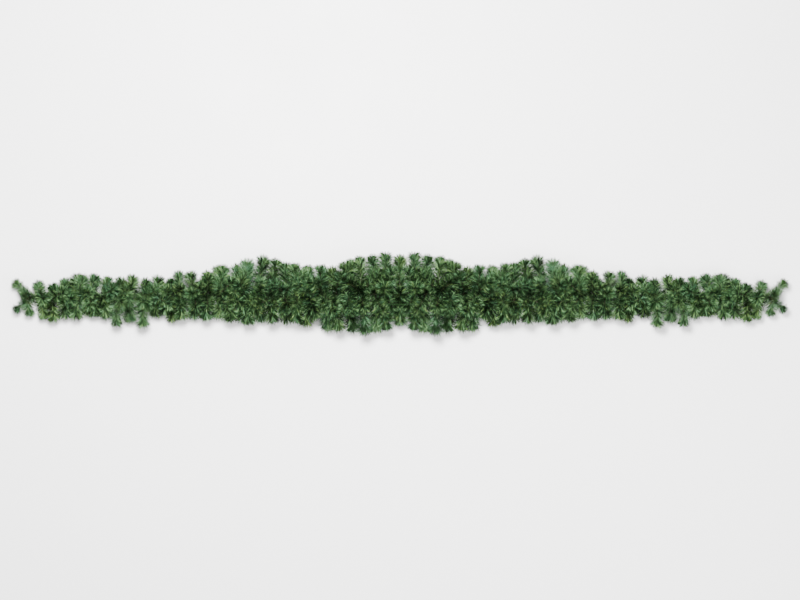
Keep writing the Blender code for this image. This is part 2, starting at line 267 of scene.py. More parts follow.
class StemRoom:
    """The stems already laid out, and how much room a new one has beside them."""

    def __init__(self) -> None:
        """Starts with no stems."""
        self.segments = np.empty((0, 6))
        self.sprays = np.empty(0, dtype=int)

    def add(self, tip: Tip) -> None:
        """Adds a tip's stem.

        Args:
            tip: The tip, in its final place.
        """
        for start, end in tip.run():
            self.segments = np.vstack([self.segments, (*start, *end)])
            self.sprays = np.append(self.sprays, tip.spray)

    def beside(self, tip: Tip) -> float:
        """The gap between a tip's stem and the nearest stem of the other sprays.

        Args:
            tip: The tip, which may be one that isn't added.

        Returns:
            The distance between the centre lines, or infinity where there is no other stem.
        """
        others = self.segments[self.sprays != tip.spray]
        if not len(others):
            return math.inf
        return min(nearest(start, end, others) for start, end in tip.run())


def nearest(start: np.ndarray, end: np.ndarray, others: np.ndarray) -> float:
    """The distance from one segment to the nearest of many.

    Args:
        start: One end of the segment.
        end: Its other end.
        others: The segments, one a row, as start and end.

    Returns:
        The distance between the centre lines.
    """
    own = end - start
    spans = others[:, 3:] - others[:, :3]
    offset = start - others[:, :3]
    own_square = own @ own
    other_square = np.einsum("ij,ij->i", spans, spans)
    across = spans @ own
    own_offset = offset @ own
    other_offset = np.einsum("ij,ij->i", spans, offset)
    spread = np.maximum(own_square * other_square - across * across, PARALLEL_SPREAD)
    along_own = np.clip((across * other_offset - own_offset * other_square) / spread, 0, 1)
    along_other = np.clip((across * along_own + other_offset) / other_square, 0, 1)
    along_own = np.clip((across * along_other - own_offset) / own_square, 0, 1)
    between = offset + along_own[:, None] * own - along_other[:, None] * spans
    return float(np.linalg.norm(between, axis=1).min())


# Where the needles of each edge tip reach: distance from the middle, distance from y = 0
FAR_EDGE = (
    (0.000, 0.137), (0.053, 0.145), (0.096, 0.136), (0.138, 0.131), (0.164, 0.121), (0.195, 0.113),
    (0.240, 0.096), (0.277, 0.102), (0.323, 0.100), (0.367, 0.107), (0.398, 0.110), (0.426, 0.123),
    (0.471, 0.134), (0.527, 0.123), (0.561, 0.103), (0.604, 0.100), (0.632, 0.100), (0.663, 0.079),
    (0.687, 0.055), (0.730, 0.078), (0.772, 0.079), (0.834, 0.063), (0.876, 0.054), (0.922, 0.066),
    (0.962, 0.058), (1.011, 0.060), (1.056, 0.070), (1.097, 0.068), (1.128, 0.068), (1.160, 0.055),
    (1.203, 0.037), (1.258, 0.045), (1.344, 0.045),
)
NEAR_EDGE = (
    (0.000, 0.114), (0.050, 0.130), (0.080, 0.136), (0.118, 0.145), (0.160, 0.136), (0.211, 0.133),
    (0.246, 0.133), (0.290, 0.090), (0.329, 0.117), (0.359, 0.104), (0.390, 0.105), (0.441, 0.105),
    (0.480, 0.100), (0.520, 0.109), (0.556, 0.100), (0.595, 0.100), (0.632, 0.089), (0.672, 0.095),
    (0.716, 0.091), (0.757, 0.092), (0.785, 0.100), (0.815, 0.073), (0.850, 0.085), (0.890, 0.119),
    (0.939, 0.102), (0.981, 0.116), (1.020, 0.090), (1.049, 0.079), (1.084, 0.080), (1.128, 0.092),
    (1.163, 0.088), (1.203, 0.100), (1.232, 0.090), (1.284, 0.079), (1.341, 0.062),
)
# Edge tips with longer or shorter needles than their neighbours, by edge and distance
SIZED_TIPS = {
    Edge.FAR: {
        0.000: 0.98, 0.053: 1.08, 0.471: 1.06, 0.527: 1.08, 0.772: 0.86, 1.258: 1.05, 1.344: 1.03,
    },
    Edge.NEAR: {0.785: 0.96, 0.890: 1.00, 0.981: 0.92, 1.232: 0.94, 1.284: 0.92, 1.341: 0.92},
}
# One try at a tip
Draw = Callable[[random.Random], Tip]


@dataclass(frozen=True)
class Layout:
    """The rule that places every tip: on the two edges, on the front and under the garland.

    Each of front_rows holds up to one spray and has three numbers a tip: its share across the
    garland in even and in odd sprays, and how far it moves towards the middle, as a share of a
    pitch. Every hollow_every-th spray leaves out the middle tip of a full row.
    """

    body: Body = field(default_factory=Body)
    seed: int = 2612
    tries: int = 60
    stem_clearance: float = 0.0055
    root_depth: float = 0.0003
    bend_along: float = 0.3
    brush_overhang: float = 0.031
    far_fringe: float = 0.005
    near_fringe: float = 0.003
    far_size: float = 0.95
    near_size: float = 1.06
    low_tip_height: float = 0.029
    high_tip_share: float = 0.12
    edge_height: Pair = (-0.002, 0.014)
    edge_arch_share: float = 0.10
    edge_arch: Pair = (0.0, 0.014)
    edge_sway: float = 0.006
    front_rows: tuple = (
        (0, ((0.02, 0.02, 0.0),)),
        (15, ((-0.70, -0.54, 0.50), (-0.40, 0.32, 0.15), (0.52, 0.68, 0.50))),
        (24, ((-0.52, -0.36, 0.50), (0.24, 0.44, 0.40))),
        (29, ((-0.22, 0.26, 0.50),)),
    )
    front_rise: float = 0.66
    front_rise_fall: float = 0.62
    front_rise_range: Pair = (0.0, 0.32)
    least_front_rise: float = 0.050
    front_spread: float = 0.14
    front_size: Pair = (0.84, 1.12)
    front_lean_spread: float = 0.60
    front_tip_least_x: float = 0.025
    front_arch: Pair = (-0.06, 0.02)
    full_row: int = 3
    hollow_every: int = 3
    back_every: int = 2
    back_drop: float = 0.036
    back_reach: Pair = (0.52, 0.64)
    back_sway: float = 0.014
    back_arch: Pair = (-0.1, -0.24)

    def make_tip(self, spray: int, aim: Vector, bulge: Vector, size: float = 1.0) -> Tip:
        """A tip whose stem leaves its collar squarely.

        Args:
            spray: Number of the collar.
            aim: Where its needles reach.
            bulge: How far the stem arches from a straight line.
            size: How long its needles are, as a share of those near it.

        Returns:
            The tip.
        """
        centre = self.body.spine_point(spray * self.body.spray_pitch)
        away = Vector((0, aim.y - centre.y, aim.z - centre.z)).normalized()
        root = centre + away * (self.body.collar_radius - self.root_depth)
        size *= self.body.needle_size(aim.x)
        end = aim - (aim - root).normalized() * self.brush_overhang * size
        bend = root.lerp(end, 0.5) + bulge
        bend.x = root.x + self.bend_along * (end.x - root.x) + bulge.x
        return Tip(spray, root, bend, end, size)

    def edge_tips(self, edge: Edge) -> Iterator[tuple[int, Draw]]:
        """The tips of one edge.

        Args:
            edge: The edge.

        Yields:
            Each tip's spray, and a function that draws one try at the tip.
        """
        if edge is Edge.FAR:
            reaches, size, fringe = FAR_EDGE, self.far_size, self.far_fringe
        else:
            reaches, size, fringe = NEAR_EDGE, self.near_size, self.near_fringe
        for number, (distance, reach) in enumerate(reaches):
            spray = min(self.body.sprays_per_half, round(distance / self.body.spray_pitch))

            def draw(
                rng: random.Random, distance: float = distance, reach: float = reach,
                spray: int = spray, number: int = number,
            ) -> Tip:
                """One try at this tip.

                Args:
                    rng: Source of its height, sway and arch.
                    distance: Its distance from the middle.
                    reach: Where its needles reach, as a distance from y = 0.
                    spray: Its spray's number.
                    number: Its number in the edge's table. Odd ones stand higher.

                Returns:
                    The tip.
                """
                high = self.body.spine_point(distance).z
                high += self.high_tip_share * self.body.half_width(distance)
                height = (self.low_tip_height, high)[number % 2] + rng.uniform(*self.edge_height)
                sway = rng.uniform(-self.edge_sway, self.edge_sway)
                arch = self.edge_arch_share * reach + rng.uniform(*self.edge_arch)
                aim = Vector((distance, edge.value * (reach + fringe), height))
                own = SIZED_TIPS[edge].get(distance, size)
                return self.make_tip(spray, aim, Vector((sway, 0, arch)), own)

            yield spray, draw

    def front_places(self, spray: int) -> tuple:
        """The front tips of one spray.

        Args:
            spray: The spray's number.

        Returns:
            Three numbers a tip, as in front_rows.
        """
        places = next(row for last, row in self.front_rows if spray <= last)
        is_full = len(places) == self.full_row
        hollow = is_full and spray % self.hollow_every == self.hollow_every - 1
        return places[::2] if hollow else places

    def front_tips(self) -> Iterator[tuple[int, Draw]]:
        """The tips on the front.

        Yields:
            Each tip's spray, and a function that draws one try at the tip.
        """
        for spray in range(self.body.sprays_per_half + 1):
            for *shares, shift in self.front_places(spray):

                def draw(
                    rng: random.Random, spray: int = spray, share: float = shares[spray % 2],
                    shift: float = shift,
                ) -> Tip:
                    """One try at this tip.

                    Args:
                        rng: Source of its place across, rise, lean and size.
                        spray: Its spray's number.
                        share: Its mean place across, as a share of half the garland's width.
                        shift: How far it moves towards the middle, as a share of a pitch.

                    Returns:
                        The tip.
                    """
                    x = spray * self.body.spray_pitch
                    centre = self.body.spine_point(x)
                    width = self.body.half_width(x)
                    across = share + rng.uniform(-self.front_spread, self.front_spread)
                    rise = self.front_rise - self.front_rise_fall * across * across
                    rise -= rng.uniform(*self.front_rise_range)
                    lean = width * rng.uniform(-self.front_lean_spread, self.front_lean_spread)
                    lean -= shift * self.body.spray_pitch
                    aim_x = max(self.front_tip_least_x, x + lean) if spray else x
                    height = centre.z + max(self.least_front_rise, rise * width)
                    aim = Vector((aim_x, centre.y + across * width, height))
                    side_arch, front_arch = self.front_arch
                    bulge = Vector((0, side_arch * across * width, front_arch * width))
                    return self.make_tip(spray, aim, bulge, rng.uniform(*self.front_size))

                yield spray, draw

    def back_tips(self) -> Iterator[tuple[int, Draw]]:
        """The tips under the garland, which carry it.

        Yields:
            Each tip's spray, and a function that draws one try at the tip.
        """
        for spray in range(0, self.body.sprays_per_half + 1, self.back_every):
            side = 1 if spray % (2 * self.back_every) else -1

            def draw(rng: random.Random, spray: int = spray, side: int = side) -> Tip:
                """One try at this tip.

                Args:
                    rng: Source of its lean and its place across.
                    spray: Its spray's number.
                    side: 1 on the far side of the spine, -1 on the near one.

                Returns:
                    The tip.
                """
                x = spray * self.body.spray_pitch
                centre = self.body.spine_point(x)
                lean = rng.uniform(-self.back_sway, self.back_sway) if spray else 0.0
                across = side * self.body.half_width(x) * rng.uniform(*self.back_reach)
                aim = Vector((x + lean, centre.y + across, -self.back_drop))
                bulge = Vector((0, self.back_arch[0] * across, self.back_arch[1] * centre.z))
                return self.make_tip(spray, aim, bulge)

            yield spray, draw

    def tips(self) -> list[Tip]:
        """All the tips. Each is drawn anew until its stem is clear of the stems of other sprays.

        Returns:
            The right half's tips, each followed by its mirror image in the left half. The middle
            spray's have none.
        """
        rng = random.Random(self.seed)
        room = StemRoom()
        placed = []
        edges = (*self.edge_tips(Edge.FAR), *self.edge_tips(Edge.NEAR))
        for spray, draw in (*self.back_tips(), *edges, *self.front_tips()):
            best, best_gap = None, -math.inf
            for _ in range(self.tries):
                tip = draw(rng)
                gap = room.beside(tip)
                if gap > best_gap:
                    best, best_gap = tip, gap
                if gap > self.stem_clearance:
                    break
            for tip in (best, best.mirrored()) if spray else (best,):
                placed.append(tip)
                room.add(tip)
        return placed


# Finishes


@dataclass(frozen=True)
class Graph:
    """A material's or group's node tree, with short ways to add nodes and links."""

    tree: bpy.types.NodeTree

    def node(self, kind: str, **settings: object) -> bpy.types.Node:
        """Adds a node.

        Args:
            kind: Blender's name for the type of node.
            **settings: The node's own properties.

        Returns:
            The node.
        """
        made = self.tree.nodes.new(kind)
        for name, value in settings.items():
            setattr(made, name, value)
        return made

    def link(self, source: Socket, target: Socket) -> None:
        """Joins two sockets."""
        self.tree.links.new(source, target)

    def read(self, attribute: str) -> Socket:
        """The value of one of the mesh's own attributes."""
        return self.node("ShaderNodeAttribute", attribute_name=attribute).outputs["Fac"]

    def ramp(self, value: Socket, stops: tuple) -> Socket:
        """A value turned into a colour.

        Args:
            value: The socket that gives the value, from 0 to 1.
            stops: Each stop's place and its linear colour.

        Returns:
            The socket that gives the colour.
        """
        made = self.node("ShaderNodeValToRGB")
        elements = made.color_ramp.elements
        while len(elements) < len(stops):
            elements.new(1.0)
        for element, (place, colour) in zip(elements, stops):
            element.position = place
            element.color = (*colour, 1.0)
        self.link(value, made.inputs["Fac"])
        return made.outputs["Color"]

    def spread(self, value: Socket, low: float, high: float) -> Socket:
        """A value mapped to another range.

        Args:
            value: The socket that gives the value, from 0 to 1.
            low: What 0 becomes.
            high: What 1 becomes.

        Returns:
            The socket that gives the mapped value.
        """
        made = self.node("ShaderNodeMapRange")
        made.inputs["To Min"].default_value = low
        made.inputs["To Max"].default_value = high
        self.link(value, made.inputs["Value"])
        return made.outputs["Result"]

    def tint(self, colour: Socket, tone: Socket) -> Socket:
        """One colour multiplied by another.

        Args:
            colour: The socket that gives the first colour.
            tone: The socket that gives the second.

        Returns:
            The socket that gives the product.
        """
        made = self.node("ShaderNodeMix", data_type="RGBA", blend_type="MULTIPLY")
        made.inputs["Factor"].default_value = 1.0
        self.link(colour, made.inputs["A"])
        self.link(tone, made.inputs["B"])
        return made.outputs["Result"]


class Mottle:
    """Node group of fine uneven patches, which every material uses."""

    NAME = "mottle"
    DETAIL = 3.0

    @classmethod
    def group(cls) -> bpy.types.NodeTree:
        """The group, made at its first use.

        Returns:
            The group, which turns the input Scale into the output Mask.
        """
        made = bpy.data.node_groups.get(cls.NAME)
        if made:
            return made
        made = bpy.data.node_groups.new(cls.NAME, "ShaderNodeTree")
        made.interface.new_socket("Scale", in_out="INPUT", socket_type="NodeSocketFloat")
        made.interface.new_socket("Mask", in_out="OUTPUT", socket_type="NodeSocketFloat")
        graph = Graph(made)
        given = graph.node("NodeGroupInput")
        result = graph.node("NodeGroupOutput")
        place = graph.node("ShaderNodeTexCoord")
        noise = graph.node("ShaderNodeTexNoise")
        noise.inputs["Detail"].default_value = cls.DETAIL
        graph.link(place.outputs["Object"], noise.inputs["Vector"])
        graph.link(given.outputs["Scale"], noise.inputs["Scale"])
        graph.link(noise.outputs["Fac"], result.inputs["Mask"])
        return made

    @classmethod
    def mask(cls, graph: Graph, scale: float) -> Socket:
        """Places the group in a material.

        Args:
            graph: The material's graph.
            scale: How fine the patches are. They are about 1 / scale metres wide.

        Returns:
            The socket that gives the mask, from 0 to 1.
        """
        made = graph.node("ShaderNodeGroup", node_tree=cls.group())
        made.inputs["Scale"].default_value = scale
        return made.outputs["Mask"]


def new_material(name: str) -> tuple[bpy.types.Material, Graph, bpy.types.Node]:
    """Makes a plain material.

    Args:
        name: Name of the material.

    Returns:
        The material, its graph and its Principled shader.
    """
    made = bpy.data.materials.new(name)
    made.use_nodes = True
    return made, Graph(made.node_tree), made.node_tree.nodes["Principled BSDF"]


@dataclass(frozen=True)
class FilmFinish:
    """Soft green film that the needles are cut from, in shades that change from tuft to tuft."""

    name: str = "pine_film"
    shades: tuple = (
        (0.00, (0.001, 0.003, 0.001)),
        (0.30, (0.004, 0.011, 0.003)),
        (0.60, (0.022, 0.056, 0.018)),
        (0.80, (0.059, 0.133, 0.048)),
        (1.00, (0.172, 0.325, 0.140)),
    )
    hues: tuple = (
        (0.00, (0.80, 0.97, 1.22)),
        (0.50, (1.00, 1.00, 1.00)),
        (1.00, (1.22, 1.03, 0.74)),
    )
    # Painted shade: each needle darker towards its root, deep in its brush
    along: tuple = (
        (0.00, (0.36, 0.36, 0.36)),
        (0.35, (0.88, 0.88, 0.88)),
        (1.00, (1.06, 1.06, 1.06)),
    )
    roughness: Pair = (0.40, 0.62)
    specular: float = 0.06
    patch_scale: float = 260.0
    bump_distance: float = 0.0003

    def make(self) -> bpy.types.Material:
        """Makes the material.

        Returns:
            The material, which reads each needle's tone, hue and place along its length.
        """
        material, graph, shader = new_material(self.name)
        shade = graph.ramp(graph.read("tone"), self.shades)
        hue = graph.ramp(graph.read("hue"), self.hues)
        # Painted shade towards each needle's root
        painted_root_shade = graph.ramp(graph.read("along"), self.along)
        graph.link(graph.tint(graph.tint(shade, hue), painted_root_shade), shader.inputs["Base Color"])
        patches = Mottle.mask(graph, self.patch_scale)
        graph.link(graph.spread(patches, *self.roughness), shader.inputs["Roughness"])
        shader.inputs["Specular IOR Level"].default_value = self.specular
        bump = graph.node("ShaderNodeBump")
        bump.inputs["Distance"].default_value = self.bump_distance
        graph.link(patches, bump.inputs["Height"])
        graph.link(bump.outputs["Normal"], shader.inputs["Normal"])
        return material


@dataclass(frozen=True)
class PaintFinish:
    """Paint of the wires and the floor, a little lighter in patches."""

    name: str
    colours: tuple
    roughness: Pair = (0.35, 0.60)
    patch_scale: float = 140.0

    def make(self) -> bpy.types.Material:
        """Makes the material.

        Returns:
            The material.
        """
        material, graph, shader = new_material(self.name)
        patches = Mottle.mask(graph, self.patch_scale)
        graph.link(graph.ramp(patches, self.colours), shader.inputs["Base Color"])
        graph.link(graph.spread(patches, *self.roughness), shader.inputs["Roughness"])
        return material


STEM_WIRE = PaintFinish(
    name="stem_wire",
    colours=((0.30, (0.034, 0.032, 0.018)), (0.70, (0.085, 0.066, 0.038))),
)
SPINE_WIRE = PaintFinish(
    name="spine_wire_paint",
    colours=((0.30, (0.020, 0.032, 0.014)), (0.70, (0.052, 0.070, 0.034))),
    patch_scale=90.0,
)


# Shapes


@dataclass(frozen=True)
class Stamp:
    """A small closed shape that is placed many times, as arrays."""

    points: np.ndarray
    faces: np.ndarray
    along: np.ndarray
    shift: np.ndarray


@dataclass(frozen=True)
class NeedleTuft:
    """A few film needles that leave the stem at one place, as neighbours in the same cut strip.

    A straight needle is widest at its shoulders, one on each side, and a bent one at its middle.
    Needles stray from the plane of their fan, and by turn_stray from their place in it. Every
    bent_every-th variant has one bent needle. Each needle's tone is shifted by one of blade_tones.
    """

    length: float = 0.038
    blades: int = 5
    bent_every: int = 2
    width: float = 0.0019
    thickness: float = 0.0006
    shoulders: Pair = (0.16, 0.80)
    middle: float = 0.52
    bent_radius: float = 0.42
    spread: float = math.radians(11)
    bend: Pair = (0.0010, 0.0040)
    stray: float = math.radians(12)
    turn_stray: float = math.radians(4)
    length_range: Pair = (0.80, 1.0)
    blade_tones: tuple[float, ...] = (-0.60, -0.48, -0.33, -0.20, -0.07, 0.09, 0.36, 0.66)
    variants: int = 16
    seed: int = 71

    def straight(self, length: float) -> bmesh.types.BMesh:
        """A flat needle: a strip between two shoulders, pointed at both ends.

        Args:
            length: The needle's length.

        Returns:
            The needle along +Z, with its root at the origin.
        """
        bm = bmesh.new()
        bmesh.ops.create_cone(bm, cap_ends=True, segments=3, radius1=1, radius2=0, depth=1)
        root, first, second, end = bm.verts
        root.co = (0, 0, 0)
        first.co = (self.width / 2, self.thickness, self.shoulders[0] * length)
        second.co = (-self.width / 2, self.thickness, self.shoulders[1] * length)
        end.co = (0, 0, length)
        return bm

    def bent(self, length: float, bow: float) -> bmesh.types.BMesh:
        """A flat needle that bows out at its middle, pointed at both ends.

        Args:
            length: The distance between its ends.
            bow: How far its middle stands off the line between them.

        Returns:
            The needle along +Z, with its root at the origin.
        """
        bm = bmesh.new()
        lower = length * self.middle
        bmesh.ops.create_cone(
            bm, cap_ends=True, segments=3, radius1=self.width * self.bent_radius, radius2=0,
            depth=length - lower, matrix=Matrix.Translation((0, 0, (length + lower) / 2)),
        )
        base = min(bm.faces, key=lambda face: face.calc_center_median().z)
        ring = list(base.verts)
        bmesh.ops.poke(bm, faces=[base])["verts"][0].co = (0, 0, 0)
        for vert in ring:
            vert.co.y = vert.co.y * self.thickness / self.width + bow
        return bm

    def lean(self, bm: bmesh.types.BMesh, rng: random.Random, turn: float) -> None:
        """Turns a needle about its axis and leans it to its place in the fan of its tuft.

        Its faces are left as triangles that point outwards.

        Args:
            bm: The needle along +Z.
            rng: Source of its turn and of its stray from the fan's plane.
            turn: Its angle in the fan.
        """
        spun = Matrix.Rotation(rng.uniform(0, 2 * math.pi), 3, "Z")
        leant = Matrix.Rotation(turn, 3, "Y") @ Matrix.Rotation(rng.gauss(0, self.stray), 3, "X")
        for vert in bm.verts:
            vert.co = leant @ spun @ vert.co
        bmesh.ops.triangulate(bm, faces=bm.faces)
        bmesh.ops.recalc_face_normals(bm, faces=bm.faces)

    def stamp(self, rng: random.Random, bent_blades: int) -> Stamp:
        """One variant of the tuft.

        Args:
            rng: Source of everything that differs from blade to blade.
            bent_blades: How many of its blades are bent.

        Returns:
            The variant, with its root at the origin and its axis along +Z.
        """
        points, faces, along, shift = [], [], [], []
        for number in range(self.blades):
            length = self.length * rng.uniform(*self.length_range)
            is_bent = number < bent_blades
            bm = self.bent(length, rng.uniform(*self.bend)) if is_bent else self.straight(length)
            turn = self.spread * (number - (self.blades - 1) / 2) + rng.gauss(0, self.turn_stray)
            self.lean(bm, rng, turn)
            tone = rng.choice(self.blade_tones)
            first = len(points)
            bm.verts.index_update()
            points += [tuple(vert.co) for vert in bm.verts]
            along += [vert.co.length / length for vert in bm.verts]
            shift += [tone] * len(bm.verts)
            faces += [[first + vert.index for vert in face.verts] for face in bm.faces]
            bm.free()
        return Stamp(np.array(points), np.array(faces), np.array(along), np.array(shift))

    def stamps(self) -> list[Stamp]:
        """All the variants of the tuft.

        Returns:
            The variants, of which every bent_every-th has a bent needle.
        """
        rng = random.Random(self.seed)
        bent_blades = (int(number % self.bent_every == 0) for number in range(self.variants))
        return [self.stamp(rng, count) for count in bent_blades]


@dataclass
class Tufts:
    """Where many tufts stand, as arrays with one row or value for each tuft.

    Roots are where tufts leave their stem, axes their own directions and fronts the stem's.
    Scales are shares of the full size. Tones go from dark to light and carry painted light and
    shade by place, hues go from blue to yellow, and shade skips say how much of the painted shade
    at a needle's root is left out, each from 0 to 1.
    """

    roots: np.ndarray
    axes: np.ndarray
    fronts: np.ndarray
    scales: np.ndarray
    tones: np.ndarray
    hues: np.ndarray
    shade_skips: np.ndarray

    @staticmethod
    def joined(parts: list["Tufts"]) -> "Tufts":
        """Several lots of tufts as one."""
        names = [row.name for row in fields(Tufts)]
        return Tufts(*(np.concatenate([getattr(part, name) for part in parts]) for name in names))

    def lifted(self, length: float, rng: np.random.Generator) -> "Tufts":
        """Bends the tufts up where their ends would pass the floor.

        Args:
            length: The needles' full length.
            rng: Source of each end's least height above the floor.

        Returns:
            The same tufts.
        """
        ends = self.roots + self.axes * (self.scales * length)[:, None]
        ends[:, 2] = np.maximum(ends[:, 2], rng.uniform(*FLOOR_GAP, len(self.roots)))
        self.axes = unit(ends - self.roots)
        return self

    def mesh(self, name: str, stamps: list[Stamp], rng: np.random.Generator) -> bpy.types.Mesh:
        """All the tufts in one mesh.

        Args:
            name: Name of the mesh.
            stamps: The variants of the tuft, which are drawn at random.
            rng: Source of the draw and of each tuft's turn about its axis.

        Returns:
            The mesh, with the attributes tone, hue and along, which sets the painted shade towards
            each needle's root.
        """
        inward = unit(self.fronts - self.axes * np.sum(self.fronts * self.axes, axis=1)[:, None])
        across = np.cross(self.axes, inward)
        turns = rng.normal(0, FAN_TURN_SPREAD, len(self.roots))[:, None]
        inward, across = (
            np.cos(turns) * inward + np.sin(turns) * across,
            np.cos(turns) * across - np.sin(turns) * inward,
        )
        frames = np.stack([across, inward, self.axes], axis=2) * self.scales[:, None, None]
        chosen = rng.integers(len(stamps), size=len(self.roots))
        points, faces, tone, hue, along = [], [], [], [], []
        count = 0
        for number, stamp in enumerate(stamps):
            rows = np.flatnonzero(chosen == number)
            if not len(rows):
                continue
            placed = np.einsum("nij,vj->nvi", frames[rows], stamp.points) + self.roots[rows, None]
            size = len(stamp.points)
            firsts = count + size * np.arange(len(rows))
            points.append(placed.reshape(-1, 3))
            faces.append((stamp.faces[None] + firsts[:, None, None]).reshape(-1, 3))
            tone.append((self.tones[rows, None] + stamp.shift[None]).ravel())
            hue.append(np.repeat(self.hues[rows], size))
            # The painted root shade starts partway along, by each tuft's shade skip
            shade_skips = self.shade_skips[rows, None]
            along.append((shade_skips + (1 - shade_skips) * stamp.along[None]).ravel())
            count += size * len(rows)
        mesh = bpy.data.meshes.new(name)
        mesh.from_pydata(np.concatenate(points), [], np.concatenate(faces))
        for label, values in (("tone", tone), ("hue", hue), ("along", along)):
            layer = mesh.attributes.new(label, "FLOAT", "POINT")
            clipped = np.clip(np.concatenate(values), 0, 1)
            layer.data.foreach_set("value", clipped.astype(np.float32))
        return mesh


@dataclass(frozen=True)
class Brush:
    """How the tufts stand round a stem: swept forward along it, and in a blunt fan at its end.

    Leans are angles between a tuft and the stem, and overhang is how far the fan may reach past
    the stem's end. A fan_power below 1 puts more of it near its rim. Pairs of tone and hue are a
    mean and a spread.
    """

    tufts_per_metre: float = 1520.0
    least_tufts: int = 4
    first_tuft: float = 0.008
    end_tufts: int = 52
    end_stretch: Pair = (0.95, 1.0)
    # Share of the painted shade at the needles' roots that tufts leave out, at the stem's root and
    # at its end
    root_depth: float = 0.0
    end_shade_skip: float = 0.55
    root_lean: float = math.radians(64)
    end_lean: float = math.radians(50)
    lean_spread: float = math.radians(11)
    fan_lean: Pair = (math.radians(4), math.radians(58))
    fan_power: float = 0.40
    overhang: float = 0.0335
    scale_range: Pair = (0.84, 1.04)
    tip_tone: Pair = (0.515, 0.09)
    tip_hue: Pair = (0.50, 0.08)
    tuft_tone: float = 0.03
    tuft_hue: float = 0.20

    def place(
        self, tip: Tip, shares: np.ndarray, leans: np.ndarray, rng: np.random.Generator, look: Pair
    ) -> Tufts:
        """Tufts round a tip's stem.

        Args:
            tip: The tip.
            shares: Each tuft's share of the stem's length.
            leans: The angle between each tuft and the stem.
            rng: Source of the turns, sizes and shades.
            look: The tip's own tone and hue.

        Returns:
            The tufts.
        """
        count = len(shares)
        points = tip.points(shares)
        headings = tip.headings(shares)
        helper = np.where(np.abs(headings[:, :1]) < NEAR_X, (1.0, 0.0, 0.0), (0.0, 0.0, 1.0))
        side = unit(np.cross(headings, helper))
        over = np.cross(side, headings)
        turns = golden_turns(count, rng)[:, None]
        outward = np.cos(turns) * side + np.sin(turns) * over
        axes = np.cos(leans)[:, None] * headings + np.sin(leans)[:, None] * outward
        scales = rng.uniform(*self.scale_range, count) * tip.size
        # Tufts towards the stem's end leave out more of the painted root shade
        shade_skips = self.root_depth + (self.end_shade_skip - self.root_depth) * np.asarray(shares)
        tones = look[0] + rng.normal(0, self.tuft_tone, count)
        hues = look[1] + rng.normal(0, self.tuft_hue, count)
        return Tufts(points, axes, headings, scales, tones, hues, shade_skips)

    def round_tip(self, tip: Tip, length: float, rng: np.random.Generator) -> Tufts:
        """All the tufts of one tip.

        Args:
            tip: The tip.
            length: The needles' length.
            rng: Source of everything that differs from tuft to tuft.

        Returns:
            The tufts along the stem and those at its end.
        """
        look = (rng.normal(*self.tip_tone), rng.normal(*self.tip_hue))
        run = tip.length()
        count = max(self.least_tufts, round((run - self.first_tuft) * self.tufts_per_metre))
        shares = (self.first_tuft + (run - self.first_tuft) * np.arange(count) / count) / run
        leans = self.root_lean + (self.end_lean - self.root_lean) * shares
        sides = self.place(tip, shares, leans + rng.normal(0, self.lean_spread, count), rng, look)
        wide = rng.random(self.end_tufts) ** self.fan_power
        fan = self.fan_lean[0] + (self.fan_lean[1] - self.fan_lean[0]) * wide
        end = self.place(tip, rng.uniform(*self.end_stretch, self.end_tufts), fan, rng, look)
        end.scales = np.minimum(end.scales, self.overhang / length / np.cos(fan) * tip.size)
        return Tufts.joined([sides, end]).lifted(length, rng)


@dataclass(frozen=True)
class RootBrush:
    """Shorter tufts on the wound roots of a spray, which fill the garland along its spine.

    They stand within reach of the spray's place. Their tone is low, painted shade deep under the
    tips, and towards the ends, where the garland is thin, the painted shade is lifted.
    """

    tufts: int = 92
    reach: float = 0.024
    lean: Pair = (math.radians(48), math.radians(80))
    scale: Pair = (0.62, 0.92)
    # Painted shade: well below the tips' tone
    tone: Pair = (0.30, 0.14)
    thin_shade_lift: float = 0.14
    hue: Pair = (0.5, 0.18)

    def round_spine(
        self, body: Body, number: int, length: float, rng: np.random.Generator
    ) -> Tufts:
        """The tufts round one spray's stretch of the spine.

        Args:
            body: The garland's overall form.
            number: The spray's number.
            length: The needles' length.
            rng: Source of everything that differs from tuft to tuft.

        Returns:
            The tufts.
        """
        shifts = rng.uniform(-self.reach, self.reach, self.tufts)
        limit = body.spine_half
        places = np.clip(number * body.spray_pitch + shifts, -limit, limit)
        roots = np.array([body.spine_point(x) for x in places])
        turns = golden_turns(self.tufts, rng)
        leans = rng.uniform(*self.lean, self.tufts)
        ahead = rng.choice((-1.0, 1.0), self.tufts)
        out = np.sin(leans)
        axes = np.stack([np.cos(leans) * ahead, out * np.cos(turns), out * np.sin(turns)], axis=1)
        fronts = np.stack([ahead, 0 * ahead, 0 * ahead], axis=1)
        made = Tufts(
            roots,
            axes,
            fronts,
            rng.uniform(*self.scale, self.tufts),
            # Painted shade, lifted towards the thin ends
            rng.normal(*self.tone, self.tufts) + self.thin_shade_lift * (1 - body.fullness(places[0])),
            rng.normal(*self.hue, self.tufts),
            np.zeros(self.tufts),
        )
        return made.lifted(length, rng)


